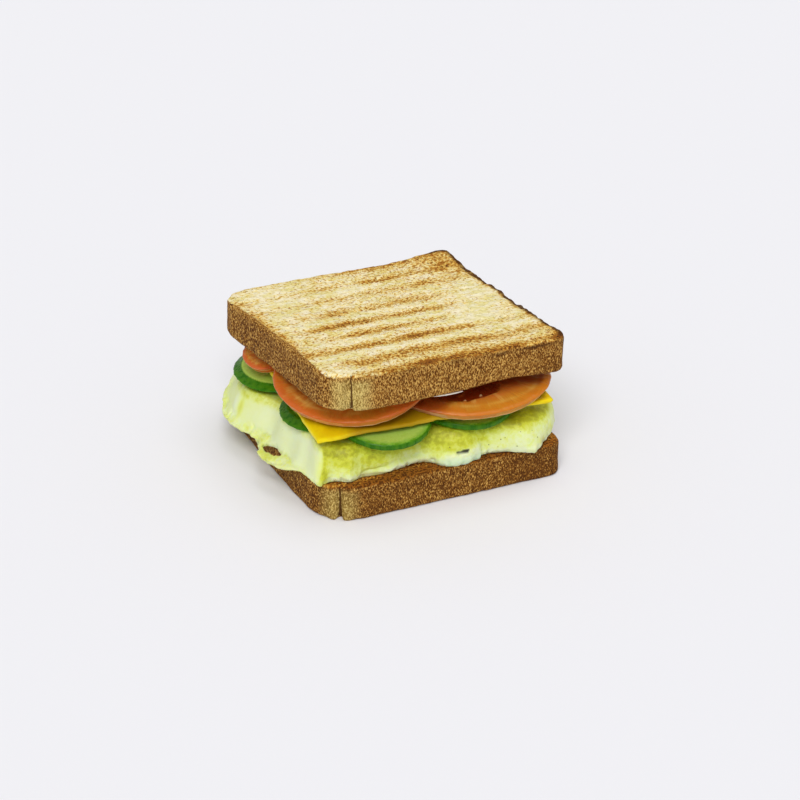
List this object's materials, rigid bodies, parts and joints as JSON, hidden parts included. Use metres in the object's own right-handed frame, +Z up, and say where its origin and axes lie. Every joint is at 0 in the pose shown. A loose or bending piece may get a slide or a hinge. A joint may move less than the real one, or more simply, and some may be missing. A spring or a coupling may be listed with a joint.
{
  "type": "breakfast sandwich",
  "caption": "Toasted square sandwich filled with a folded omelette, cucumber, cheese and tomato, its top slice leaning on the filling.",
  "frame": {"origin": "middle of the whole sandwich's box seen from above, on the plane that the bottom toast stands on", "axes": "+Z up; -Y towards the long cut side that the picture shows at the right, -X towards the side that it shows at the left"},
  "size_m": [0.1258, 0.1176, 0.0686],
  "materials": {
    "toast": "matte",
    "omelette": "satin",
    "cucumber": "satin",
    "cheese": "satin",
    "tomato": "glossy"
  },
  "bodies": {
    "root": {"toast_bottom": "toast", "omelette": "omelette", "cucumber_right_front": "cucumber", "cucumber_left_front": "cucumber", "cucumber_back_right": "cucumber", "cucumber_right": "cucumber", "cucumber_front": "cucumber", "cucumber_left_back": "cucumber", "cucumber_back": "cucumber", "cheese_slice": "cheese", "tomato_back_right": "tomato", "tomato_right": "tomato", "tomato_left_back": "tomato", "tomato_left_front": "tomato", "toast_top": "toast"}
  },
  "joints": []
}
